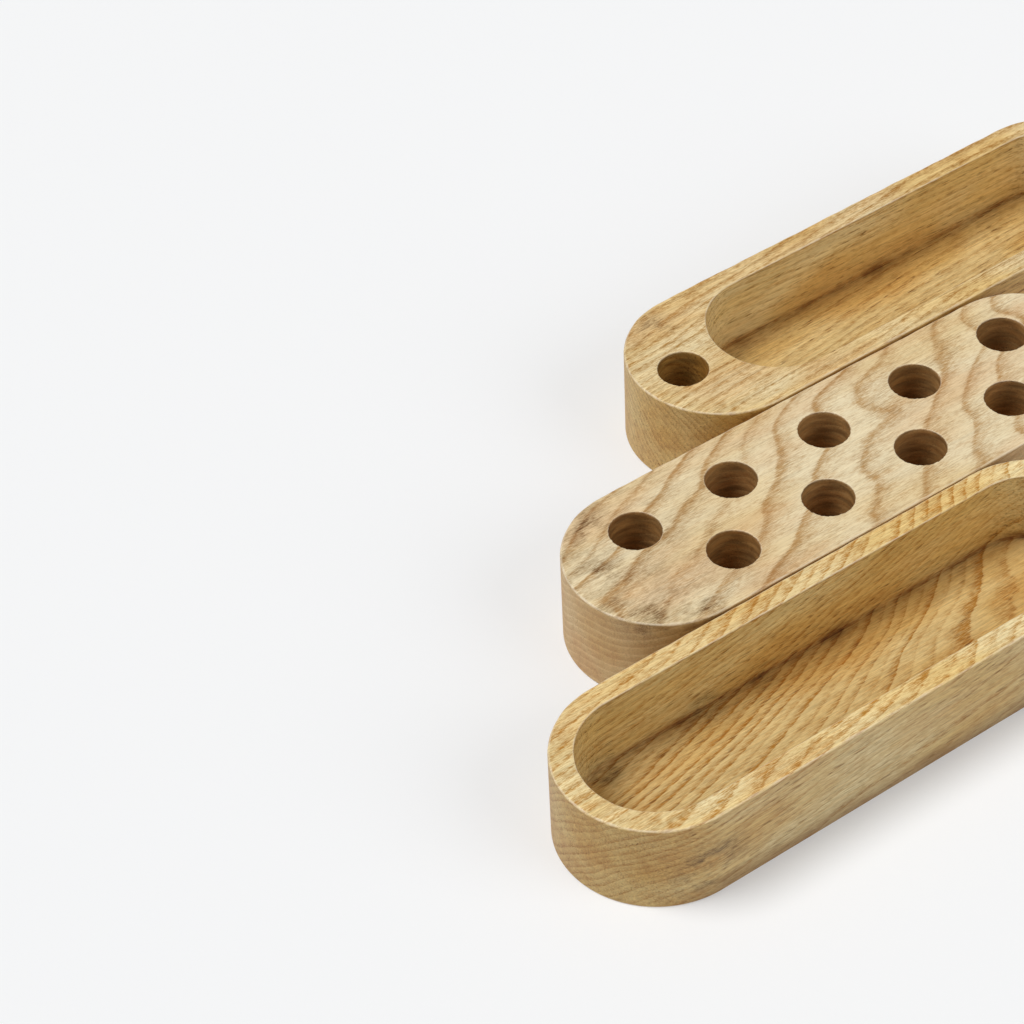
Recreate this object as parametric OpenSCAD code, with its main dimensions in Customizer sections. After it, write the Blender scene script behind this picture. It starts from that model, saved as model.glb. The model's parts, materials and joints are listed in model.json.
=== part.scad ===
// Tool storage caddy: three loose blocks of solid ash with one outline, set side by side.
// The tool block in the middle stands tools upright in two staggered rows of blind holes.
// The blocks before and behind it are trays with a round-ended recess cut from the top.
//
// +X runs along the blocks, +Y to the rear and +Z up. The origin is the middle of the
// tool block's underside, on the surface that all three blocks rest on.

/* [Block] */
// Length of a block over its round ends
block_l = 152; // [140:1:200]
// Width of a block, and so the diameter of its round ends
block_w = 45; // [42:1:56]
// Height of a block
block_h = 24; // [23:1:40]
// Chamfer that takes the sharpness off every outer edge
edge_break = 0.4; // [0.2:0.1:1]

/* [Tool holes] */
// Diameter of a tool hole
hole_d = 12; // [8:0.5:13]
// Depth of a tool hole
hole_depth = 19; // [12:1:20]
// Distance between neighbouring holes of one row
hole_pitch = 27; // [20:1:27]
// Distance between the two rows
row_pitch = 18; // [15:1:20]
// Number of holes in the rear row. The front row has one fewer, set halfway between them
rear_row_count = 5; // [2:1:5]

/* [Trays] */
// Thickness of the wall round a recess
rim_t = 5.5; // [4:0.5:7]
// Depth of a recess
recess_depth = 19; // [12:1:20]
// Distance from the rear tray's left end to the middle of its own tool hole
end_hole_inset = 11.7; // [11:0.1:12.5]
// Distance from the rear tray's left end to the start of its recess
recess_inset = 23.1; // [22.5:0.1:40]

/* [Layout] */
// How far the front tray stands along +X from the tool block, so a negative value is to the left
front_offset = -36.7; // [-54:0.1:54]
// How far the rear tray stands along +X from the tool block
rear_offset = 51.9; // [-54:0.1:54]
// Gap between the front tray and the tool block, at the middle of the tray
front_gap = 0.55; // [0.5:0.05:5]
// Gap between the rear tray and the tool block, at the middle of the tray
rear_gap = 1; // [0.6:0.05:5]
// How far the front tray is turned from the tool block, anticlockwise from above
front_turn = 0.3; // [0:0.05:0.3]
// How far the rear tray is turned from the tool block, anticlockwise from above
rear_turn = 0.4; // [0:0.05:0.4]

/* [Hidden] */
$fn = 96;
end_r = block_w / 2;              // radius of a block's round ends
straight_l = block_l - block_w;   // straight stretch between the round ends
recess_r = end_r - rim_t;         // radius of a recess's round ends
overcut = 1;                      // how far a cutter reaches above the top face

// Half outline of a solid with its top and bottom edges broken by c, as [radius, height]
function half_profile(r, h, c) = [[0, 0], [r - c, 0], [r, c], [r, h - c], [r - c, h], [0, h]];

// Half outline of a recess cutter, depth deep below height 0, with its mouth opened by c
function recess_profile(r, depth, c) = [
    [0, -depth], [r, -depth], [r, -c], [r + c, 0], [r + c, overcut], [0, overcut]
];

// Pill-shaped solid: the half outline is turned about both ends of a line of length
// straight, centred on the origin along X, and drawn out between them
module pill(outline, straight) {
    both_sides = concat(outline, [for (i = [len(outline) - 1:-1:0]) [-outline[i][0], outline[i][1]]]);
    for (side = [-1, 1])
        translate([side * straight / 2, 0, 0])
            rotate([0, 0, -90 * side])
                rotate_extrude(angle = 180)
                    polygon(outline);
    translate([-straight / 2, 0, 0])
        rotate([90, 0, 90])
            linear_extrude(straight)
                polygon(both_sides);
}

// Uncut block, standing on height 0
module blank() {
    pill(half_profile(end_r, block_h, edge_break), straight_l);
}

// Flat-bottomed hole for a tool, cut down from the top face at (x, y)
module tool_hole(x, y) {
    translate([x, y, block_h - hole_depth])
        cylinder(d = hole_d, h = hole_depth + overcut);
}

// Round-ended recess, cut down from the top face between two end centres on the X axis
module recess(from_x, to_x) {
    translate([(from_x + to_x) / 2, 0, block_h])
        pill(recess_profile(recess_r, recess_depth, edge_break), to_x - from_x);
}

// Middle block, with a row of holes behind its centre line and a row before it
module tool_block() {
    color("wheat")
        difference() {
            blank();
            for (row = [0, 1], i = [0:rear_row_count - 1 - row])
                tool_hole((i - (rear_row_count - 1 - row) / 2) * hole_pitch, (0.5 - row) * row_pitch);
        }
}

// Tray before the tool block, hollowed over its whole length
module front_tray() {
    color("burlywood")
        translate([front_offset, -block_w - front_gap, 0])
            rotate([0, 0, front_turn])
                difference() {
                    blank();
                    recess(-straight_l / 2, straight_l / 2);
                }
}

// Tray behind the tool block, with one tool hole at its left end and a shorter recess
module rear_tray() {
    color("tan")
        translate([rear_offset, block_w + rear_gap, 0])
            rotate([0, 0, rear_turn])
                difference() {
                    blank();
                    tool_hole(end_hole_inset - block_l / 2, 0);
                    recess(recess_inset + recess_r - block_l / 2, straight_l / 2);
                }
}

tool_block();
front_tray();
rear_tray();
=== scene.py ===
import json
import math
import bmesh
import bpy
import numpy as np
from mathutils import Matrix, Vector


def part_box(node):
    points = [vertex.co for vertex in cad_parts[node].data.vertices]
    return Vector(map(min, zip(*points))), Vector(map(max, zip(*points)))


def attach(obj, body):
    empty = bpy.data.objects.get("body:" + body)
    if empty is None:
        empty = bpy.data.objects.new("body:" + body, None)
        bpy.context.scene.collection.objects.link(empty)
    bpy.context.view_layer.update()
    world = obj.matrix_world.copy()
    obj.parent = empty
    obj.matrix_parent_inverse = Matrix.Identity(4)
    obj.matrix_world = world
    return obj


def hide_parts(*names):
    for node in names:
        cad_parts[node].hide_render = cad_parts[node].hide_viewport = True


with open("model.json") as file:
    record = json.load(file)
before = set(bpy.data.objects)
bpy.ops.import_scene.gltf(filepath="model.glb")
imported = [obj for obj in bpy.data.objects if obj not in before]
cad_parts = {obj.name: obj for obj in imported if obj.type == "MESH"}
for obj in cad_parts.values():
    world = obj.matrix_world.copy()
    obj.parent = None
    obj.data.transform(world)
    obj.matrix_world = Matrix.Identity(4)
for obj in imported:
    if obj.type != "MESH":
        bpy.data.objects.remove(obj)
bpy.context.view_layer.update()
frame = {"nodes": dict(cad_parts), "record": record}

# Three loose blocks of solid ash with one outline: a tool block with nine holes between two trays.
# Every block is worked out in its own millimetres, middle at x = y = 0 and underside at z = 0, and
# is then turned, moved and scaled to where the CAD part has it.
mm = 0.001
toolLow, toolHigh = [np.array(point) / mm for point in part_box("tool_block")]
blockLength, blockWidth, blockHeight = toolHigh - toolLow
endRadius = blockWidth / 2
halfStraight = (blockLength - blockWidth) / 2
mounts = {m["name"]: m for m in frame["record"]["mounts"]}
holeRadius = mounts["rear_tray_hole"]["dims"]["r_mm"]
holeDepth = mounts["rear_tray_hole"]["dims"]["length_mm"]

# attributes that a point carries for the material: in a drilled hole, near the cutter's corner of a
# recess, anywhere in a recess, and on a rounded edge, where a highlight is painted
markNames = ("drilled", "crease", "hollow", "arris")

shaping = {
    "step": 0.9,          # mm between points along an outline
    "underStep": 2.2,     # mm between rings of points on the underside,
    "wallStep": 1.1,      # up the outside,
    "recessStep": 1.0,    # down a recess's wall,
    "groundStep": 1.1,    # on its floor,
    "holeStep": 0.6,      # down a hole
    "holeFloorStep": 1.2,  # and on its floor
    "rimRings": 7,        # rings of faces across a tray's rim,
    "cellRings": 10,      # and across the face round a hole,
    "cellCrowd": 1.3,     # where a power over 1 crowds them towards the hole
    "edgeRound": 0.5,     # mm, sanded outer edges
    "footRound": 0.4,     # mm, edge round the underside
    "mouthRound": 0.35,   # mm, edge of a recess or hole
    "unevenness": 0.3,    # share by which hand sanding varies an edge's rounding
    "fillet": 0.5,        # mm, cutter's corner between wall and floor
    "fray": 0.07,         # mm, torn fibres round a hole's mouth
    "drillMark": 0.05,    # mm, depth of the rings that the drill leaves in a hole
    "drillPitch": 1.7,    # mm between those rings
    "dirtReach": 0.45,    # mm, how far the crease mark spreads from the cutter's corner, as a darker line and painted shade
    "cornerDirt": 0.9,    # how strongly the corner itself is marked, from 0 to 1
    "mouthWear": 0.6,     # how strong the painted highlight on a hole's mouth is, when an outer edge is 1
}


def placeOf(node):
    # middle and turn of a block. A turned block's box is wider than the block by the length of its
    # straight stretch times the sine of the turn, which is anticlockwise on both trays
    low, high = [np.array(point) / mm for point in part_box(node)]
    turn = math.asin(max(0, high[1] - low[1] - blockWidth) / (2 * halfStraight))
    return np.array([(low[0] + high[0]) / 2, (low[1] + high[1]) / 2, 0]), turn


def intoBlock(points, place, turn):
    # points of the frame, in millimetres, as the block itself has them: moved and turned back
    moved = points - place
    c, s = math.cos(turn), math.sin(turn)
    return np.stack([moved[:, 0] * c + moved[:, 1] * s, moved[:, 1] * c - moved[:, 0] * s, moved[:, 2]], 1)


def recessOf(node):
    # floor height, end radius and both end centres of a tray's recess. The floor is the lowest of the
    # CAD node's points between its two faces, and its widest points are the ends of its straight sides
    clear, near = 1, 0.02   # mm
    vertices = frame["nodes"][node].data.vertices
    points = np.empty(len(vertices) * 3)
    vertices.foreach_get("co", points)
    points = intoBlock(points.reshape(-1, 3) / mm, *placeOf(node))
    inside = points[(points[:, 2] > clear) & (points[:, 2] < blockHeight - clear)]
    floor = inside[:, 2].min()
    flat = inside[inside[:, 2] < floor + near]
    radius = abs(flat[:, 1]).max()
    corners = flat[abs(flat[:, 1]) > radius - near]
    return floor, radius, corners[:, 0].min(), corners[:, 0].max()


def waver(angle, counts):
    # smooth uneven value, about -1 to 1, round a closed outline: the mean of sines with whole numbers
    # of waves and unlike starts, raised a little because they seldom peak together
    startsApart, raised = 1.7, 1.6
    waves = [np.sin(k * angle + startsApart * i * i) / len(counts) for i, k in enumerate(counts)]
    return np.sum(waves, axis=0) * raised


def pillPath(straightShares, arcSteps):
    # once round a block, anticlockwise from the rear of its left end: how far each point is along the
    # straight stretch, from 0 to 1, and the cosine and sine of the direction out of the block there
    turn = np.linspace(0.5, 1.5, arcSteps + 1) * math.pi
    along = straightShares[1:-1]
    share = np.concatenate([0 * turn, along, 0 * turn + 1, along[::-1]])
    heading = np.concatenate([turn, 0 * along + 1.5 * math.pi, turn + math.pi, 0 * along + 0.5 * math.pi])
    return share, np.cos(heading), np.sin(heading)


def arcStepsOf(shape):
    # steps round one end of a block: half its circle over the step, as a multiple of four
    return 4 * round(math.pi * endRadius / shape["step"] / 4)


def plainPath(shape):
    # outline whose straight stretches are divided evenly
    return pillPath(np.linspace(0, 1, round(2 * halfStraight / shape["step"]) + 1), arcStepsOf(shape))


def carry(path, leftEnd, rightEnd, radius, height, **marks):
    # a profile carried round the path: x is the place between the end centres plus radius times the
    # direction's cosine, y is radius times its sine. A point holds x, y, z and its marks
    share, outX, outY = path
    given = [radius, height] + [marks.get(name, 0) for name in markNames]
    radius, height, *levels = [np.reshape(v, (-1, 1)) if np.ndim(v) == 1 else v for v in given]
    x = leftEnd + (rightEnd - leftEnd) * share + radius * outX
    y = radius * outY + 0 * x
    return np.stack(np.broadcast_arrays(x, y, height + 0 * x, *levels), -1)


def corner(radius, height, size, fromAngle, toAngle, steps=5):
    # quarter round of a profile about (radius, height): size times the cosine and sine of the angle.
    # The size may differ at each point of the outline
    angle = np.radians(np.linspace(fromAngle, toAngle, steps + 1))[:, None]
    return radius + size * np.cos(angle), height + size * np.sin(angle)


def worn(profile):
    # mark of a rounded edge: half a sine wave, 0 at its ends and 1 in its middle
    return np.sin(np.linspace(0, math.pi, len(profile)))


def spread(start, end, step, margin=0.12):
    # even places from start to end with one more a margin from either end, in mm, so that smooth
    # shading stays at the edge
    count = max(2, round(abs(end - start) / step))
    places = np.linspace(start, end, count + 1)
    nudge = math.copysign(min(margin, abs(end - start) / count / 2), end - start)
    return np.concatenate([[start, start + nudge], places[1:-1], [end - nudge, end]])


def outsideOf(path, shape):
    # underside, foot, wall and top edge of a block: one profile, from the middle of the underside out
    # and up to the top face, carried round the block's own two end centres
    ends = (-halfStraight, halfStraight)
    angle = np.linspace(0, 2 * math.pi, len(path[0]), endpoint=False)
    size = shape["edgeRound"] * (1 + shape["unevenness"] * waver(angle, (7, 17, 31, 53)))
    foot, top = shape["footRound"], blockHeight
    under = spread(0, endRadius - foot, shape["underStep"])
    footR, footZ = corner(endRadius - foot, foot, foot, -90, 0)
    wall = spread(foot, top - 2 * shape["edgeRound"], shape["wallStep"])
    edgeR, edgeZ = corner(endRadius - size, top - size, size, 0, 90)
    return np.concatenate([
        carry(path, *ends, under, 0 * under),
        carry(path, *ends, footR[1:], footZ[1:] + 0 * footR[1:]),
        carry(path, *ends, endRadius + 0 * wall[1:], wall[1:]),
        carry(path, *ends, edgeR, edgeZ, arris=worn(edgeR)),
    ])


def recessInto(path, floor, radius, leftEnd, rightEnd, shape):
    # mouth, wall, cutter's corner and floor of a recess: one profile, from the top face down and in to
    # the floor's middle line. The crease mark fades with the exponential of the distance from the corner
    angle = np.linspace(0, 2 * math.pi, len(path[0]), endpoint=False)
    size = shape["mouthRound"] * (1 + shape["unevenness"] * waver(angle, (9, 23, 41, 61)))
    mouthR, mouthZ = corner(radius + size, blockHeight - size, size, 90, 180)
    fillet = shape["fillet"]
    wall = spread(blockHeight - 2 * shape["mouthRound"], floor + fillet, shape["recessStep"])
    footR, footZ = corner(radius - fillet, floor + fillet, fillet, 0, -90)
    ground = spread(radius - fillet, 0, shape["groundStep"])[1:]
    wallCrease, groundCrease = [np.exp(-gap / shape["dirtReach"]) for gap in (wall - floor, radius - ground)]
    ends = (leftEnd, rightEnd)
    return np.concatenate([
        carry(path, *ends, mouthR, mouthZ, arris=worn(mouthR)),
        carry(path, *ends, radius + 0 * wall, wall, crease=wallCrease, hollow=1),
        carry(path, *ends, footR[1:], footZ[1:] + 0 * footR[1:], crease=shape["cornerDirt"], hollow=1),
        carry(path, *ends, ground, floor + 0 * ground, crease=groundCrease, hollow=1),
    ])


def holeIn(boundary, centre, shape):
    # a hole and the top face round it: every ring runs along the rays from the hole's axis to the
    # boundary, first across the face, then over the mouth, down the wall and in to the floor's middle.
    # The drill's rings stand in from the wall as one minus a cosine of the height over their pitch
    ray = boundary - centre
    reach = np.hypot(ray[:, 0], ray[:, 1])
    angle = np.arctan2(ray[:, 1], ray[:, 0])
    fray = shape["fray"] * waver(angle + centre[0], (19, 31, 47, 71))
    size = shape["mouthRound"] * (1 + shape["unevenness"] * waver(angle + centre[0], (5, 13, 29)))
    mouth = holeRadius + size
    share = np.linspace(1, 0, shape["cellRings"] + 1)[:, None] ** shape["cellCrowd"]
    floor = blockHeight - holeDepth
    edgeR, edgeZ = corner(mouth, blockHeight - size, size, 90, 180)
    frayed = worn(edgeR)[1:, None]
    fillet = shape["fillet"]
    wall = spread(blockHeight - 2 * shape["mouthRound"], floor + fillet, shape["holeStep"])
    mark = shape["drillMark"] * (1 - np.cos(2 * math.pi * wall / shape["drillPitch"])) / 2
    footR, footZ = corner(holeRadius - fillet, floor + fillet, fillet, 0, -90, steps=3)
    ground = spread(holeRadius - fillet, 0, shape["holeFloorStep"])
    one = np.ones(len(boundary))
    radius = np.concatenate([
        mouth + (reach - mouth) * share,
        edgeR[1:] + frayed * fray,
        (holeRadius - mark)[:, None] * one,
        footR[1:] * one,
        ground[1:, None] * one,
    ])
    height = np.concatenate([
        blockHeight + 0 * share * one,
        edgeZ[1:] * one,
        wall[:, None] * one,
        footZ[1:] * one,
        floor + 0 * ground[1:, None] * one,
    ])
    edgeStart, edgeEnd = len(share), len(share) + len(frayed)
    drilledStart = edgeStart + 2   # from the third ring of the mouth down
    marks = np.zeros(radius.shape + (len(markNames),))
    marks[drilledStart:, :, markNames.index("drilled")] = 1
    marks[edgeStart:edgeEnd, :, markNames.index("arris")] = shape["mouthWear"] * frayed
    flat = centre + radius[:, :, None] * (ray / reach[:, None])[None]
    return np.concatenate([flat, height[:, :, None], marks], -1)


def chain(*runs):
    # runs of points joined end to end into one closed outline, without the doubled ends
    return np.concatenate([run[:-1] for run in runs])


def between(start, end, steps):
    # even points of the straight line from start to end
    return start + (end - start) * np.linspace(0, 1, steps + 1)[:, None]


def woodPiece(name, grids, place, turn, material):
    # joins the grids of points into one closed skin, welds their shared edges, and sets it in its
    # place: x and y turned about the block's middle and moved to it
    points, faces, offset = [], [], 0
    for grid, closed in grids:
        rows, columns = grid.shape[:2]
        number = offset + np.arange(rows * columns).reshape(rows, columns)
        if closed:
            number = np.concatenate([number, number[:, :1]], 1)
        quads = np.stack([number[:-1, :-1], number[:-1, 1:], number[1:, 1:], number[1:, :-1]], -1)
        faces.append(quads.reshape(-1, 4))
        points.append(grid.reshape(rows * columns, -1))
        offset += rows * columns
    points, faces = np.concatenate(points), np.concatenate(faces)
    c, s = math.cos(turn), math.sin(turn)
    x = points[:, 0] * c - points[:, 1] * s + place[0]
    y = points[:, 0] * s + points[:, 1] * c + place[1]
    mesh = bpy.data.meshes.new(name)
    mesh.from_pydata(np.stack([x, y, points[:, 2]], 1) * mm, [], faces)
    for column, mark in enumerate(markNames):
        values = np.ascontiguousarray(points[:, 3 + column], np.float32)
        mesh.attributes.new(mark, "FLOAT", "POINT").data.foreach_set("value", values)
    weldReach = 0.002 * mm
    skin = bmesh.new()
    skin.from_mesh(mesh)
    bmesh.ops.remove_doubles(skin, verts=skin.verts, dist=weldReach)
    bmesh.ops.recalc_face_normals(skin, faces=skin.faces)
    skin.to_mesh(mesh)
    skin.free()
    mesh.polygons.foreach_set("use_smooth", np.ones(len(mesh.polygons), bool))
    mesh.materials.append(material)
    piece = bpy.data.objects.new(name, mesh)
    bpy.context.scene.collection.objects.link(piece)
    return piece


def toolBlockGrids(shape):
    # the top face is parted into a cell round each hole, and a quarter disc at the front of either
    # end. A cell reaches from the middle line to the outline, and from one neighbouring hole's place
    # in the other row to the next. A disc's points are shares of the way from the end's centre out
    holes = [np.array(m["pos_m"][:2]) / mm for name, m in mounts.items() if "row_hole" in name]
    inner = sorted(h[0] for h in holes if abs(h[0]) < halfStraight)
    knots = np.array([-halfStraight, *inner, halfStraight])
    fine = max(2, round((inner[1] - inner[0]) / shape["step"]))
    shares = np.interp(np.arange(fine * (len(knots) - 1) + 1) / fine, np.arange(len(knots)), knots)
    shares = (shares + halfStraight) / (2 * halfStraight)
    steps, arc = len(shares) - 1, arcStepsOf(shape)
    path = pillPath(shares, arc)
    outside = outsideOf(path, shape)
    ring = outside[-1, :, :2]
    ring = np.concatenate([ring, ring[:1]])
    side = round(endRadius / shape["step"])
    middle = np.stack([shares * 2 * halfStraight - halfStraight, 0 * shares], 1)
    front, rear = ring[arc:arc + steps + 1], ring[2 * arc + steps:][::-1]
    leftArc, rightArc = ring[:arc + 1], ring[arc + steps:2 * arc + steps + 1]
    half, lastCell = arc // 2, (len(knots) - 2) * fine
    grids = [(outside, True)]
    for hole in holes:
        back = hole[1] > 0
        if back and hole[0] < knots[0]:
            outline = chain(rear[:fine + 1][::-1], leftArc[:half + 1],
                            between(leftArc[half], middle[0], side), middle[:fine + 1],
                            between(middle[fine], rear[fine], side))
        elif back and hole[0] > knots[-1]:
            outline = chain(rear[lastCell:][::-1], between(rear[lastCell], middle[lastCell], side),
                            middle[lastCell:], between(middle[-1], rightArc[half], side),
                            rightArc[half:])
        else:
            k = int(np.argmin(abs(knots - hole[0])))
            a, b = (k - 1) * fine, (k + 1) * fine
            far, near = (rear, middle) if back else (middle, front)
            outline = chain(far[a:b + 1][::-1], between(far[a], near[a], side), near[a:b + 1],
                            between(near[b], far[b], side))
        grids.append((holeIn(outline, hole, shape), True))
    for arcPoints, centre in ((leftArc[half:], middle[0]), (rightArc[:half + 1], middle[-1])):
        disc = centre + (arcPoints - centre) * np.linspace(0, 1, side + 1)[:, None, None]
        heightAndMarks = np.zeros(disc.shape[:2] + (1 + len(markNames),))
        heightAndMarks[:, :, 0] = blockHeight
        grids.append((np.concatenate([disc, heightAndMarks], -1), False))
    return grids


def trayParts(node, shape):
    # outside, recess and the rim between them, whose points are shares of the way from one to the other
    path = plainPath(shape)
    outside, recess = outsideOf(path, shape), recessInto(path, *recessOf(node), shape)
    share = np.linspace(0, 1, shape["rimRings"] + 1)[:, None, None]
    return outside, recess, outside[-1] * (1 - share) + recess[0] * share


def frontTrayGrids(shape):
    # one profile all the way: outside, rim and recess
    outside, recess, rim = trayParts("front_tray", shape)
    return [(np.concatenate([outside, rim[1:-1], recess]), True)]


def rearTrayGrids(shape):
    # the rim is cut out round the left end for a cell with the hole in it
    outside, recess, rim = trayParts("rear_tray", shape)
    a, b = arcStepsOf(shape) // 4, 3 * arcStepsOf(shape) // 4
    rest = np.concatenate([rim[:, b:], rim[:, :a + 1]], 1)
    flat = rim[:, :, :2]
    outline = chain(flat[0, a:b + 1], flat[:, b], flat[-1, a:b + 1][::-1], flat[:, a][::-1])
    place, turn = placeOf("rear_tray")
    hole = intoBlock(np.array([mounts["rear_tray_hole"]["pos_m"]]) / mm, place, turn)[0, :2]
    return [(outside, True), (rest, False), (holeIn(outline, hole, shape), True), (recess, True)]


def linear(hexColour):
    # sRGB hex to linear RGBA: a dark value over 12.92, and of any other a power of 2.4
    values = [int(hexColour[i:i + 2], 16) / 255 for i in (1, 3, 5)]
    return [v / 12.92 if v <= 0.04045 else ((v + 0.055) / 1.055) ** 2.4 for v in values] + [1]


def addNode(tree, kind, inputs=(), output=0, stops=None, **settings):
    # one node with its settings, whose output is given back. Inputs are values or other nodes' outputs,
    # by place or by name, and stops are a ramp's places and levels
    node = tree.nodes.new("ShaderNode" + kind)
    for name, value in settings.items():
        setattr(node, name, value)
    for socket, value in inputs.items() if isinstance(inputs, dict) else enumerate(inputs):
        if isinstance(value, bpy.types.NodeSocket):
            tree.links.new(value, node.inputs[socket])
        else:
            node.inputs[socket].default_value = value
    if stops:
        ramp = node.color_ramp.elements
        for place, level in stops[2:]:
            ramp.new(place)
        for element, (place, level) in zip(ramp, sorted(stops)):
            element.position = place
            element.color = (level, level, level, 1)
    return node.outputs[output] if node.outputs else None


# Ash, Fraxinus excelsior: sawn, machined and hand sanded, with a wipe of oil on the trays. It is
# ring-porous, so each year starts with a line of open pores, which takes up dirt and oil and reads as
# a darker ochre line of short dashes, and ends in dense pale wood. The layers are solid: the same
# ones show on the top, down the walls, in the recess and on the end grain.
def layersFromPith(tree, x, y, z, wood):
    # count of years: distance from the log's pith over the width of a year. The pith is a bowed line
    # beside the block, start + slope t + bow t squared, where t is x over half the block's length.
    # Years grown before the radius "wideBelow" are wider
    blend = 4.0   # mm over which the width of the years changes
    share = addNode(tree, "Math", [x, blockLength / 2], operation="DIVIDE")
    centre = []
    for start, slope, bow in (wood["pithY"], wood["pithZ"]):
        bent = addNode(tree, "Math", [share, bow, slope], operation="MULTIPLY_ADD")
        centre.append(addNode(tree, "Math", [share, bent, start], operation="MULTIPLY_ADD"))
    here = addNode(tree, "CombineXYZ", [0.0, y, z])
    pith = addNode(tree, "CombineXYZ", [0.0, *centre])
    offset = addNode(tree, "VectorMath", [here, pith], operation="SUBTRACT")
    length = addNode(tree, "VectorMath", [offset], "Value", operation="LENGTH")
    years = addNode(tree, "Math", [length, 1 / wood["yearWidth"]], operation="MULTIPLY")
    inside = addNode(tree, "Math", [length, wood["wideBelow"]], operation="SUBTRACT")
    inside = addNode(tree, "Math", [inside, 0.0, blend], operation="SMOOTH_MIN")
    saved = 1 / wood["yearWidth"] - 1 / wood["wideYear"]
    return addNode(tree, "Math", [inside, -saved, years], operation="MULTIPLY_ADD")


def layersNearlyFlat(tree, x, y, z, wood):
    # count of years in a flat-sawn block: years lie almost level and dip along the block, so the top
    # cuts them in slanting bands that sway and fan out. The place along the middle line is
    # (x - lean y - sway sine) / (1 - fan y), a curve through "yearPlaces" turns it into years, and
    # every year's width below the top adds one more
    places = wood["yearPlaces"]
    slid = addNode(tree, "Math", [y, -wood["lean"], x], operation="MULTIPLY_ADD")
    turns = 2 * math.pi / wood["swayLength"]
    bend = addNode(tree, "Math", [y, turns, wood["swayStart"]], operation="MULTIPLY_ADD")
    bend = addNode(tree, "Math", [bend], operation="SINE")
    slid = addNode(tree, "Math", [bend, -wood["sway"], slid], operation="MULTIPLY_ADD")
    narrowed = addNode(tree, "Math", [y, -wood["fan"], 1.0], operation="MULTIPLY_ADD")
    place = addNode(tree, "Math", [slid, narrowed], operation="DIVIDE")
    share = addNode(tree, "MapRange", [place, places[0], places[-1], 0.0, 1.0], clamp=False)
    curve = addNode(tree, "FloatCurve", {"Value": share})
    mapping = curve.node.mapping
    mapping.extend = "EXTRAPOLATED"
    last = len(places) - 1
    for number, where in list(enumerate(places))[1:-1]:
        mapping.curves[0].points.new((where - places[0]) / (places[-1] - places[0]), number / last)
    mapping.update()
    top = addNode(tree, "Math", [curve, float(last)], operation="MULTIPLY")
    below = addNode(tree, "Math", [z, -blockHeight], operation="ADD")
    return addNode(tree, "Math", [below, -1 / wood["yearWidth"], top], operation="MULTIPLY_ADD")


ashPatterns = {
    # noise of the wood: size of its grains in mm along the block, across it and up, detail, roughness.
    # Single fibres are drawn about ten times as coarse as real ones, so that they show
    "feather": ((6, 0.8, 0.8), 3.0, 0.65),      # ragged edge of a year's line
    "fibre": ((14, 0.45, 0.45), 3.0, 0.6),      # long faint streaks
    "strokes": ((1.7, 0.22, 0.22), 3.0, 0.65),  # single fibres
    "mottle": ((7, 2.2, 2.2), 4.0, 0.65),       # cream and tan clouding
    "pores": ((3.2, 0.36, 0.36), 1.0, 0.5),     # open vessels
    "crowding": ((20, 5, 5), 1.0, 0.5),         # where the vessels crowd
    "patches": ((48, 15, 15), 2.0, 0.5),        # golden areas
    "blush": ((30, 11, 9), 2.0, 0.5),           # pink areas
    "blotch": ((9, 5, 5), 5.0, 0.7),            # handling stain
    "dust": ((6, 6, 1.5), 3.0, 0.5),            # uneven strength of the dark line in the cutter's corner, and rings in a hole
    "burn": ((13, 13, 4), 3.0, 0.6),            # patches of the painted shade beside the cutter's corner
}
ashCuts = {
    # two levels of a noise, between which what it draws goes from its least to its most
    "broken": (0.35, 0.65), "clouded": (0.3, 0.7), "stroked": (0.37, 0.63), "patches": (0.42, 0.62),
    "blush": (0.48, 0.66), "fibre": (0.3, 0.7), "rings": (0.36, 0.64), "blotch": (0.42, 0.62),
    "streaked": (0.35, 0.65), "pores": (0.56, 0.68), "crowd": (0.35, 0.6), "dirt": (0.35, 0.65),
    "burn": (0.56, 0.68), "pale": (0.4, 0.6),
}
ashSurface = {
    "topFade": (0.6, 0.1),     # mm below the top face, between which the side's look becomes the top's
    "floorFade": (0.3, 1.5),   # mm above a recess floor, between which its look becomes the wall's
    "footReach": 6.0,          # mm up the side that the painted shade at the foot fades over
    "endReach": 0.7,           # share of the end radius over which the end's painted shade comes in
    "echoes": 4.0,             # faint lines in a year
    "ringShade": (0.72, 1.28),  # darkest and palest ring in a drilled hole
    "smudgeCore": 0.25,        # share of a smudge's radius that is stained all over
    "streakShade": (0.4, 1.2),  # how the fibres vary the stain
    "poreBand": 0.7,           # how strong a year's line is where its pores are all open
    "sparse": 0.3,             # share of the pores left where they don't crowd
    "stainedPores": 0.35,      # how much more the pores show under the stain
    "thinDirt": 0.2,           # share of the dark line in the cutter's corner left where it is faintest
    "burnReach": 0.22,         # power of the crease mark's fading: the lower, the wider the painted shade beside the corner
    "leastWear": 0.2,          # share of the painted edge highlight left where it is least
    "poreRough": 0.2,          # how much rougher the pores are,
    "creaseRough": 0.5,        # and the cutter's corner
    "poreRelief": -1.0,        # height of the pores,
    "fibreRelief": 0.5,        # the fibres
    "yearRelief": -0.4,        # and a year's line, as shares of
    "reliefDepth": 0.08,       # mm
    "reliefStrength": 0.6,
    "ior": 1.5,
    "specularLevel": 0.4,
}


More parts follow.
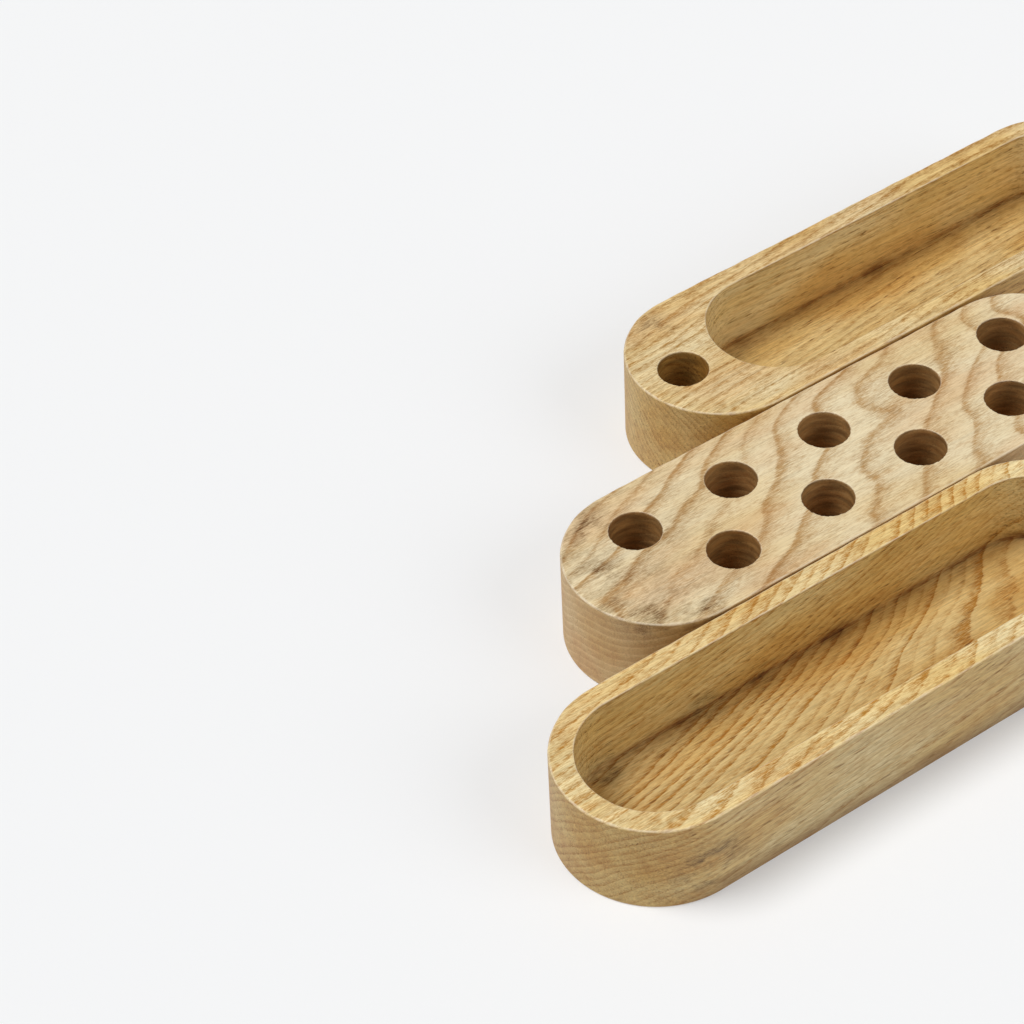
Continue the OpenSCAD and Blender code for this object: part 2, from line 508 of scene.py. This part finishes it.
def fieldsOf(tree, place, turn, driftSize):
    # what all the rest is worked out from: the place in the block in mm, every noise there, the marks,
    # and how far a place belongs to the top face and to a recess wall rather than its floor
    where = addNode(tree, "TexCoord", output="Object")
    local = addNode(tree, "Mapping", {"Vector": where, "Location": Vector(place) * mm,
                                      "Rotation": (0, 0, turn), "Scale": (mm, mm, mm)},
                    vector_type="TEXTURE")
    x, y, z = addNode(tree, "SeparateXYZ", [local]).node.outputs
    field = {"local": local, "x": x, "y": y, "z": z}
    patterns = {**ashPatterns, "drift": (driftSize, 0.5, 0.5)}
    for kind, (size, detail, roughness) in patterns.items():
        scaled = addNode(tree, "VectorMath", [local, [1 / v for v in size]], operation="MULTIPLY")
        field[kind] = addNode(tree, "TexNoise", {"Vector": scaled, "Scale": 1.0, "Detail": detail,
                                                 "Roughness": roughness})
    for name in markNames:
        field[name] = addNode(tree, "Attribute", output="Fac", attribute_name=name)
    low, high = [blockHeight - depth for depth in ashSurface["topFade"]]
    field["top"] = addNode(tree, "MapRange", [z, low, high, 0.0, 1.0])
    low, high = [blockHeight - holeDepth + rise for rise in ashSurface["floorFade"]]
    field["raised"] = addNode(tree, "MapRange", [z, low, high, 0.0, 1.0])
    return field


def yearLines(tree, field, layers, wood):
    # how far early wood shows, from 0 to 1: the layers' count of years, shifted by the drift and the
    # feather, is looked up in the year's line and multiplied by a strength that is random for each year
    years = layers(tree, field["x"], field["y"], field["z"], wood)
    for kind in ("drift", "feather"):
        moved = addNode(tree, "MapRange", [field[kind], 0.0, 1.0, -wood[kind], wood[kind]])
        years = addNode(tree, "Math", [years, moved], operation="ADD")
    phase = addNode(tree, "Math", [years], operation="FRACT")
    number = addNode(tree, "Math", [years], operation="FLOOR")
    chance = addNode(tree, "TexWhiteNoise", {"W": number}, noise_dimensions="1D")
    line = addNode(tree, "ValToRGB", [phase], stops=wood["yearLine"])
    strength = addNode(tree, "MapRange", [chance, 0.0, 1.0, wood["faintest"], 1.0])
    band = addNode(tree, "Math", [line, strength], operation="MULTIPLY")
    echo = addNode(tree, "Math", [years, ashSurface["echoes"]], operation="MULTIPLY")
    echo = addNode(tree, "Math", [echo, 0.5], operation="PINGPONG")
    return addNode(tree, "Math", [echo, wood["echo"], band], operation="MULTIPLY_ADD")


def amountOf(tree, field, amounts):
    # one amount out of four, for the top, the outside, a recess wall and a recess floor, mixed by how
    # far the place belongs to each. A Mix node takes numbers at its inputs 2 and 3, colours at 6 and 7
    onTop, outside, onWall, onFloor = amounts
    inRecess = addNode(tree, "Mix", {0: field["raised"], 2: onFloor, 3: onWall})
    aside = addNode(tree, "Mix", {0: field["hollow"], 2: outside, 3: inRecess})
    return addNode(tree, "Mix", {0: field["top"], 2: aside, 3: onTop})


def woodColour(tree, field, band, wood):
    # pale late wood mixed with ochre early wood by figure times band plus base, broken up by the
    # strokes of single fibres and clouded, then multiplied by golden and pink areas and by streaks
    least, most = 1 - wood["broken"], 1 + wood["broken"]
    broken = addNode(tree, "MapRange", [field["strokes"], *ashCuts["broken"], least, most])
    figure = addNode(tree, "Math", [band, amountOf(tree, field, wood["figure"])], operation="MULTIPLY")
    base = amountOf(tree, field, wood["base"])
    figure = addNode(tree, "Math", [figure, broken, base], operation="MULTIPLY_ADD")
    clouded = addNode(tree, "MapRange", [field["mottle"], *ashCuts["clouded"], -wood["mottle"],
                                         wood["mottle"]], clamp=False)
    stroked = addNode(tree, "MapRange", [field["strokes"], *ashCuts["stroked"], -wood["strokes"],
                                         wood["strokes"]])
    clouded = addNode(tree, "Math", [clouded, stroked], operation="ADD")
    contrast = amountOf(tree, field, wood["contrast"])
    share = addNode(tree, "Math", [clouded, contrast, figure], operation="MULTIPLY_ADD", use_clamp=True)
    colour = addNode(tree, "Mix", {0: share, 6: linear(wood["late"]), 7: linear(wood["early"])}, 2,
                     data_type="RGBA")
    for kind in ("patches", "blush"):
        amount = addNode(tree, "MapRange", [field[kind], *ashCuts[kind], 0.0, wood[kind + "Share"]])
        colour = addNode(tree, "Mix", {0: amount, 6: colour, 7: linear(wood[kind])}, 2,
                         data_type="RGBA", blend_type="MULTIPLY")
    least, most = 1 - wood["fibreShade"], 1 + wood["fibreShade"]
    shade = addNode(tree, "MapRange", [field["fibre"], *ashCuts["fibre"], least, most])
    rings = addNode(tree, "MapRange", [field["dust"], *ashCuts["rings"], *ashSurface["ringShade"]])
    shade = addNode(tree, "Mix", {0: field["drilled"], 2: shade, 3: rings})
    return addNode(tree, "VectorMath", {0: colour, 3: shade}, operation="SCALE")


def stainOf(tree, field, wood):
    # share of grey-brown handling stain: the greater of a haze on the top that grows towards the left
    # end and of round smudges at some places, times its blotches, times the streaks of the fibres
    reach = addNode(tree, "MapRange", [field["x"], -blockLength / 2, wood["stainEnd"],
                                       wood["stainShare"], 0.0])
    haze = addNode(tree, "Math", [field["top"], reach], operation="MULTIPLY")
    for *centre, size in wood["smudges"]:
        gap = addNode(tree, "VectorMath", [field["local"], centre], "Value", operation="DISTANCE")
        smudge = addNode(tree, "MapRange", [gap, ashSurface["smudgeCore"] * size, size, 1.0, 0.0])
        haze = addNode(tree, "Math", [haze, smudge], operation="MAXIMUM")
    stained = addNode(tree, "MapRange", [field["blotch"], *ashCuts["blotch"], 0.0, 1.0])
    stained = addNode(tree, "Math", [stained, haze], operation="MULTIPLY")
    streaked = addNode(tree, "MapRange", [field["strokes"], *ashCuts["streaked"],
                                          *ashSurface["streakShade"]])
    return addNode(tree, "Math", [stained, streaked], operation="MULTIPLY", use_clamp=True)


def poresOf(tree, field, band, wood):
    # open vessels, short dark dashes: their noise times how open the year's line leaves them, times
    # how much they crowd
    pores = addNode(tree, "MapRange", [field["pores"], *ashCuts["pores"], 0.0, 1.0])
    room = addNode(tree, "MapRange", [band, 0.0, ashSurface["poreBand"], wood["poreElsewhere"], 1.0])
    crowd = addNode(tree, "MapRange", [field["crowding"], *ashCuts["crowd"], ashSurface["sparse"], 1.0])
    pores = addNode(tree, "Math", [pores, room], operation="MULTIPLY")
    return addNode(tree, "Math", [pores, crowd], operation="MULTIPLY")


def shadeTintOf(tree, field, wood):
    # painted shade that the wood's own colour is multiplied by: none on the top, the side's, its foot's
    # and its end's on the outside, and in a recess one for its wall and one for its floor
    recessShade = addNode(tree, "Mix", {0: field["raised"], 6: linear(wood["recessFloor"]),
                                  7: linear(wood["recessWall"])}, 2, data_type="RGBA")
    lower = addNode(tree, "MapRange", [field["z"], 0.0, ashSurface["footReach"], 0.0, 1.0])
    outer = addNode(tree, "Mix", {0: lower, 6: linear(wood["foot"]), 7: linear(wood["sides"])}, 2,
                    data_type="RGBA")
    endward = addNode(tree, "Math", [field["x"]], operation="ABSOLUTE")
    reach = halfStraight + ashSurface["endReach"] * endRadius
    endward = addNode(tree, "MapRange", [endward, halfStraight, reach, 0.0, 1.0])
    outer = addNode(tree, "Mix", {0: endward, 6: outer, 7: linear(wood["ends"])}, 2, data_type="RGBA")
    tint = addNode(tree, "Mix", {0: field["hollow"], 6: outer, 7: recessShade}, 2, data_type="RGBA")
    return addNode(tree, "Mix", {0: field["top"], 6: tint, 7: (1, 1, 1, 1)}, 2, data_type="RGBA")


def stainedAndShaded(tree, field, colour, stained, wood):
    # the colour multiplied by the handling stain's, by a darker colour in a hole, partly the drill's
    # burnish and end grain and partly painted shade, by a darker line along the cutter's corner and by
    # painted shade beside it, each by its own share
    uneven = addNode(tree, "MapRange", [field["dust"], *ashCuts["dirt"], ashSurface["thinDirt"], 1.0])
    lined = addNode(tree, "Math", [field["crease"], uneven], operation="MULTIPLY")
    # painted shade that spreads from the cutter's corner, wider than the darker line
    creaseShaded = addNode(tree, "Math", [field["crease"], ashSurface["burnReach"]], operation="POWER")
    patchy = addNode(tree, "MapRange", [field["burn"], *ashCuts["burn"], 0.0, 1.0])
    creaseShaded = addNode(tree, "Math", [creaseShaded, patchy], operation="MULTIPLY")
    shares = {"stain": stained, "drilled": field["drilled"], "dirt": lined, "burn": creaseShaded}
    for kind, share in shares.items():
        colour = addNode(tree, "Mix", {0: share, 6: colour, 7: linear(wood[kind])}, 2,
                         data_type="RGBA", blend_type="MULTIPLY")
    return colour


def ashWood(name, place, turn, layers, wood):
    # the wood's colour with its pores, a tint of painted shade, a darker line and painted shade at the
    # cutter's corner and a painted highlight on the rounded edges, a roughness that pores and the cutter's
    # corner raise, and a relief of pores, fibres and year lines
    material = bpy.data.materials.new(name)
    material.use_nodes = True
    tree = material.node_tree
    tree.nodes.clear()
    field = fieldsOf(tree, place, turn, wood["driftSize"])
    band = yearLines(tree, field, layers, wood)
    stained = stainOf(tree, field, wood)
    pores = poresOf(tree, field, band, wood)

    colour = woodColour(tree, field, band, wood)
    openShare = amountOf(tree, field, wood["pores"])
    openShare = addNode(tree, "Math", [stained, ashSurface["stainedPores"], openShare],
                        operation="MULTIPLY_ADD")
    openShare = addNode(tree, "Math", [pores, openShare], operation="MULTIPLY", use_clamp=True)
    colour = addNode(tree, "Mix", {0: openShare, 6: colour, 7: linear(wood["pore"])}, 2, data_type="RGBA")
    tint = shadeTintOf(tree, field, wood)
    colour = addNode(tree, "VectorMath", [colour, tint], operation="MULTIPLY")
    colour = stainedAndShaded(tree, field, colour, stained, wood)
    # a painted highlight along the rounded edges and round a hole's mouth
    pale = addNode(tree, "MapRange", [field["mottle"], *ashCuts["pale"], ashSurface["leastWear"], 1.0])
    pale = addNode(tree, "Math", [pale, field["arris"]], operation="MULTIPLY")
    pale = addNode(tree, "Math", [pale, wood["wear"]], operation="MULTIPLY")
    colour = addNode(tree, "Mix", {0: pale, 6: colour, 7: linear(wood["worn"])}, 2, data_type="RGBA")

    rough = addNode(tree, "Math", [pores, ashSurface["poreRough"], wood["roughness"]],
                    operation="MULTIPLY_ADD")
    rough = addNode(tree, "Math", [field["crease"], ashSurface["creaseRough"], rough],
                    operation="MULTIPLY_ADD", use_clamp=True)
    height = 0.5
    for source, relief in ((pores, "poreRelief"), (field["fibre"], "fibreRelief"), (band, "yearRelief")):
        height = addNode(tree, "Math", [source, ashSurface[relief], height], operation="MULTIPLY_ADD")
    bump = addNode(tree, "Bump", {"Strength": ashSurface["reliefStrength"],
                                  "Distance": ashSurface["reliefDepth"] * mm, "Height": height})
    shader = addNode(tree, "BsdfPrincipled", {"Base Color": colour, "Roughness": rough, "Normal": bump,
                                              "IOR": ashSurface["ior"],
                                              "Specular IOR Level": ashSurface["specularLevel"]})
    addNode(tree, "OutputMaterial", {"Surface": shader})
    return material


# how far early wood shows through a year's growth, as its share of the year and the level there
trayYear = [(0.0, 0.3), (0.05, 1.0), (0.13, 0.85), (0.3, 0.55), (0.5, 0.28), (0.75, 0.05), (0.92, 0.0),
            (1.0, 0.3)]
toolBlockYear = [(0.0, 0.35), (0.04, 0.8), (0.09, 1.0), (0.16, 0.75), (0.28, 0.42), (0.48, 0.18),
                 (0.72, 0.0), (0.92, 0.0), (1.0, 0.35)]

toolBlock = {
    # mm along the middle line, where a year begins
    "yearPlaces": [-104, -88, -73, -58, -42.5, -28, -11, 5.5, 25.5, 37.5, 52, 66, 80],
    "lean": 1.15,          # mm along for every mm to the rear
    "fan": 0.0115,         # share by which bands come closer for every mm to the rear
    "sway": 2.4, "swayLength": 20.0, "swayStart": -1.2,   # mm, mm and radians of the bands' sideways wave
    "yearWidth": 2.2,      # mm, width of a year down the side
    "drift": 1.0, "driftSize": (30, 13, 60),   # years that a band strays, and over what size in mm
    "feather": 0.025,      # years by which its edge is ragged
    "echo": 0.12,          # strength of the faint lines within a year
    "yearLine": toolBlockYear,
    "faintest": 0.5,       # strength of the faintest year
    "broken": 0.12,        # how much single fibres break up a band
    "poreElsewhere": 0.5,  # share of the pores away from a year's line
    "late": "#eddcb6", "early": "#b8905a",            # pale wood and year lines
    "patches": "#f6e8cc", "patchesShare": 0.7,        # golden areas
    "blush": "#f6e6da", "blushShare": 0.7,            # pink areas
    "mottle": 0.24, "strokes": 0.3, "fibreShade": 0.09,   # clouding, single fibres, long streaks
    # four amounts each, on the top, the outside, a recess wall and a recess floor
    "figure": (0.88, -0.5, -0.5, -0.5),               # how far the years show; negative turns them pale
    "base": (0.04, 0.42, 0.42, 0.42),                 # early wood's share elsewhere
    "contrast": (1.0, 0.55, 0.5, 0.5),                # of clouding and fibres
    "pores": (0.5, 0.4, 0.4, 0.4), "pore": "#94703f",
    "stain": "#968266", "stainShare": 0.65, "stainEnd": -28.0,   # haze from the left end to this x in mm
    "smudges": [(-62, 16, 24, 10), (-69, 2, 24, 8), (-67, -13, 24, 9), (-57, -19, 24, 8)],  # place, radius
    # painted shade that the outside's sides, foot and ends, and a recess's floor and wall, are multiplied
    # by
    "sides": "#f2e4cc", "foot": "#c4b09c", "ends": "#e6d6bc",
    "recessFloor": "#ffffff", "recessWall": "#ffffff",
    # in a hole a darker colour, partly the drill's burnish and end grain and partly painted shade; a
    # darker line along the cutter's corner, and painted shade beside it
    "drilled": "#cdb8a0", "dirt": "#7d5c3c", "burn": "#a08060",
    "worn": "#fbefd8", "wear": 0.45,                  # colour and strength of the painted highlight on the edges
    "roughness": 0.5,
}
frontTray = {
    "pithY": (-63, 33, 11), "pithZ": (-86, 3, 3),     # mm: start, slope and bow of the pith's line
    "yearWidth": 1.64, "wideBelow": 103, "wideYear": 3.4,
    "drift": 1.3, "driftSize": (36, 13, 13),
    "feather": 0.18,
    "echo": 0.0,
    "yearLine": trayYear,
    "faintest": 0.35,
    "broken": 0.3,
    "poreElsewhere": 0.35,
    "late": "#f4e1ae", "early": "#bc8836",
    "patches": "#f2dcaa", "patchesShare": 0.7,
    "blush": "#f2e2cc", "blushShare": 0.5,
    "mottle": 0.36, "strokes": 0.32, "fibreShade": 0.16,
    "figure": (0.8, 0.5, 0.6, 0.95),
    "base": (0.12, 0.18, 0.06, 0.06),
    "contrast": (1.2, 0.6, 0.7, 0.7),
    "pores": (0.12, 0.75, 1.0, 0.75), "pore": "#7d5828",
    "stain": "#766658", "stainShare": 0.2, "stainEnd": -55.0,
    "smudges": [(-55.5, -22.4, 9, 11), (-55.6, 15.2, 5, 5), (-27.7, 16.9, 5, 6), (-11.7, 16.9, 5, 5)],
    # painted shade that the outside's sides, foot and ends, and a recess's floor and wall, are multiplied
    # by
    "sides": "#e0ded8", "foot": "#ae9c8a", "ends": "#d4c6a6",
    "recessFloor": "#e8ddc8", "recessWall": "#f3f2e4",
    # in a hole a darker colour, partly the drill's burnish and end grain and partly painted shade; a
    # darker line along the cutter's corner, and painted shade beside it
    "drilled": "#d2bd9c", "dirt": "#b09068", "burn": "#a08058",
    # colour and strength of the painted highlight on the edges
    "worn": "#fbeed2", "wear": 0.48,
    "roughness": 0.45,
}
rearTray = {
    "pithY": (87, 5, 2.5), "pithZ": (-74, -2, 3.7),
    "yearWidth": 1.55, "wideBelow": 60, "wideYear": 3,
    "drift": 1.3, "driftSize": (40, 11, 11),
    "feather": 0.25,
    "echo": 0.0,
    "yearLine": trayYear,
    "faintest": 0.2,
    "broken": 0.3,
    "poreElsewhere": 0.35,
    "late": "#eed9aa", "early": "#b08340",
    "patches": "#f2dca6", "patchesShare": 0.7,
    "blush": "#f0dcc6", "blushShare": 0.5,
    "mottle": 0.36, "strokes": 0.32, "fibreShade": 0.16,
    "figure": (0.7, 0.45, 0.5, 0.5),
    "base": (0.1, 0.18, -0.04, 0.1),
    "contrast": (1.15, 0.6, 0.7, 0.7),
    "pores": (0.12, 0.7, 1.0, 1.0), "pore": "#7d5828",
    "stain": "#a09080", "stainShare": 0.2, "stainEnd": -55.0,
    "smudges": [(-60, 16, 24, 6)],
    # painted shade that the outside's sides, foot and ends, and a recess's floor and wall, are multiplied
    # by
    "sides": "#efe4c4", "foot": "#b8a88c", "ends": "#e6dab4",
    "recessFloor": "#f1e8d0", "recessWall": "#fdfff6",
    # in a hole a darker colour, partly the drill's burnish and end grain and partly painted shade; a
    # darker line along the cutter's corner, and painted shade beside it
    "drilled": "#d2bd9c", "dirt": "#c0a47c", "burn": "#b09068",
    # colour and strength of the painted highlight on the edges
    "worn": "#fbeed2", "wear": 0.48,
    "roughness": 0.45,
}

blocks = [
    ("tool_block", toolBlockGrids, layersNearlyFlat, toolBlock, "ash_pale"),
    ("front_tray", frontTrayGrids, layersFromPith, frontTray, "ash_golden"),
    ("rear_tray", rearTrayGrids, layersFromPith, rearTray, "ash_tan"),
]
for node, gridsOf, layers, wood, slot in blocks:
    place, turn = placeOf(node)
    material = ashWood(node + "_ash_wood", place, turn, layers, wood)
    piece = woodPiece(node + "_ash", gridsOf(shaping), place, turn, material)
    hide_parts(node)
    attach(piece, node)
    print("made", piece.name, "with", len(piece.data.polygons), "faces")

# A matt white table that gives a little light of its own, as a lit product table does, a broad soft
# light high behind the left end and a weaker one at the front right, and an even pale surround
studio = {
    "floorReach": 3.0,        # m each way
    "floorDrop": 0.05,        # mm from the blocks down to the table
    "floorColour": "#d0d1d2",
    "floorGlow": 0.293,
    "floorRoughness": 0.9,
    "floorSpecular": 0.1,
    "surround": 0.2,
    "lamps": {                # strength, spread in degrees as seen from the object, and where from
        "rear_left_softbox": (2.2, 26.0, (-0.38, 0.24, 0.89)),
        "front_right_softbox": (0.9, 44.0, (0.36, -0.74, 0.54)),
    },
}
white = (1, 1, 1, 1)
reach, floorZ = studio["floorReach"], -studio["floorDrop"] * mm
corners = [(x * reach, y * reach, floorZ) for x, y in ((-1, -1), (1, -1), (1, 1), (-1, 1))]
floorMesh = bpy.data.meshes.new("floor")
floorMesh.from_pydata(corners, [], [(0, 1, 2, 3)])
floor = bpy.data.objects.new("floor", floorMesh)
bpy.context.scene.collection.objects.link(floor)
floorPaint = bpy.data.materials.new("matt_white_table")
floorPaint.use_nodes = True
floorInputs = floorPaint.node_tree.nodes["Principled BSDF"].inputs
floorInputs["Base Color"].default_value = linear(studio["floorColour"])
floorInputs["Roughness"].default_value = studio["floorRoughness"]
floorInputs["Specular IOR Level"].default_value = studio["floorSpecular"]
floorInputs["Emission Color"].default_value = white
floorInputs["Emission Strength"].default_value = studio["floorGlow"]
floorMesh.materials.append(floorPaint)

for name, (strength, spreadAngle, source) in studio["lamps"].items():
    lamp = bpy.data.objects.new(name, bpy.data.lights.new(name, "SUN"))
    lamp.data.energy = strength
    lamp.data.angle = math.radians(spreadAngle)
    lamp.rotation_mode = "QUATERNION"
    lamp.rotation_quaternion = Vector(source).to_track_quat("Z", "Y")
    bpy.context.scene.collection.objects.link(lamp)
surround = bpy.data.worlds.new("surround")
surround.use_nodes = True
surroundInputs = surround.node_tree.nodes["Background"].inputs
surroundInputs["Color"].default_value = white
surroundInputs["Strength"].default_value = studio["surround"]
bpy.context.scene.world = surround
bpy.context.scene.view_settings.view_transform = "Standard"
print("lit the studio")

# The camera looks down across the left ends of the blocks, tilted a little
view = {
    "turn": 33.33,            # degrees to the right of straight at the front
    "down": 43.62,            # degrees below level
    "roll": -3.2,             # degrees
    "lens": 117.17,           # mm
    "sensor": 36.0,           # mm wide
    "aim": (-72.2, 30.7),     # mm from the middle of the tool block's top
    "distance": 746.0,        # mm from there
}
turn, down, roll = [math.radians(view[key]) for key in ("turn", "down", "roll")]
level = Vector((math.sin(turn), math.cos(turn), 0))
ahead = math.cos(down) * level - math.sin(down) * Vector((0, 0, 1))
right = Vector((math.cos(turn), -math.sin(turn), 0))
up = right.cross(ahead)
rolledRight = math.cos(roll) * right + math.sin(roll) * up
rolledUp = math.cos(roll) * up - math.sin(roll) * right
aim = Vector((*view["aim"], blockHeight)) * mm
camera = bpy.data.objects.new("camera", bpy.data.cameras.new("camera"))
camera.data.lens = view["lens"]
camera.data.sensor_width = view["sensor"]
axes = Matrix((rolledRight, rolledUp, -ahead)).transposed().to_4x4()
camera.matrix_world = Matrix.Translation(aim - ahead * view["distance"] * mm) @ axes
bpy.context.scene.collection.objects.link(camera)
bpy.context.scene.camera = camera
print("set up the camera")
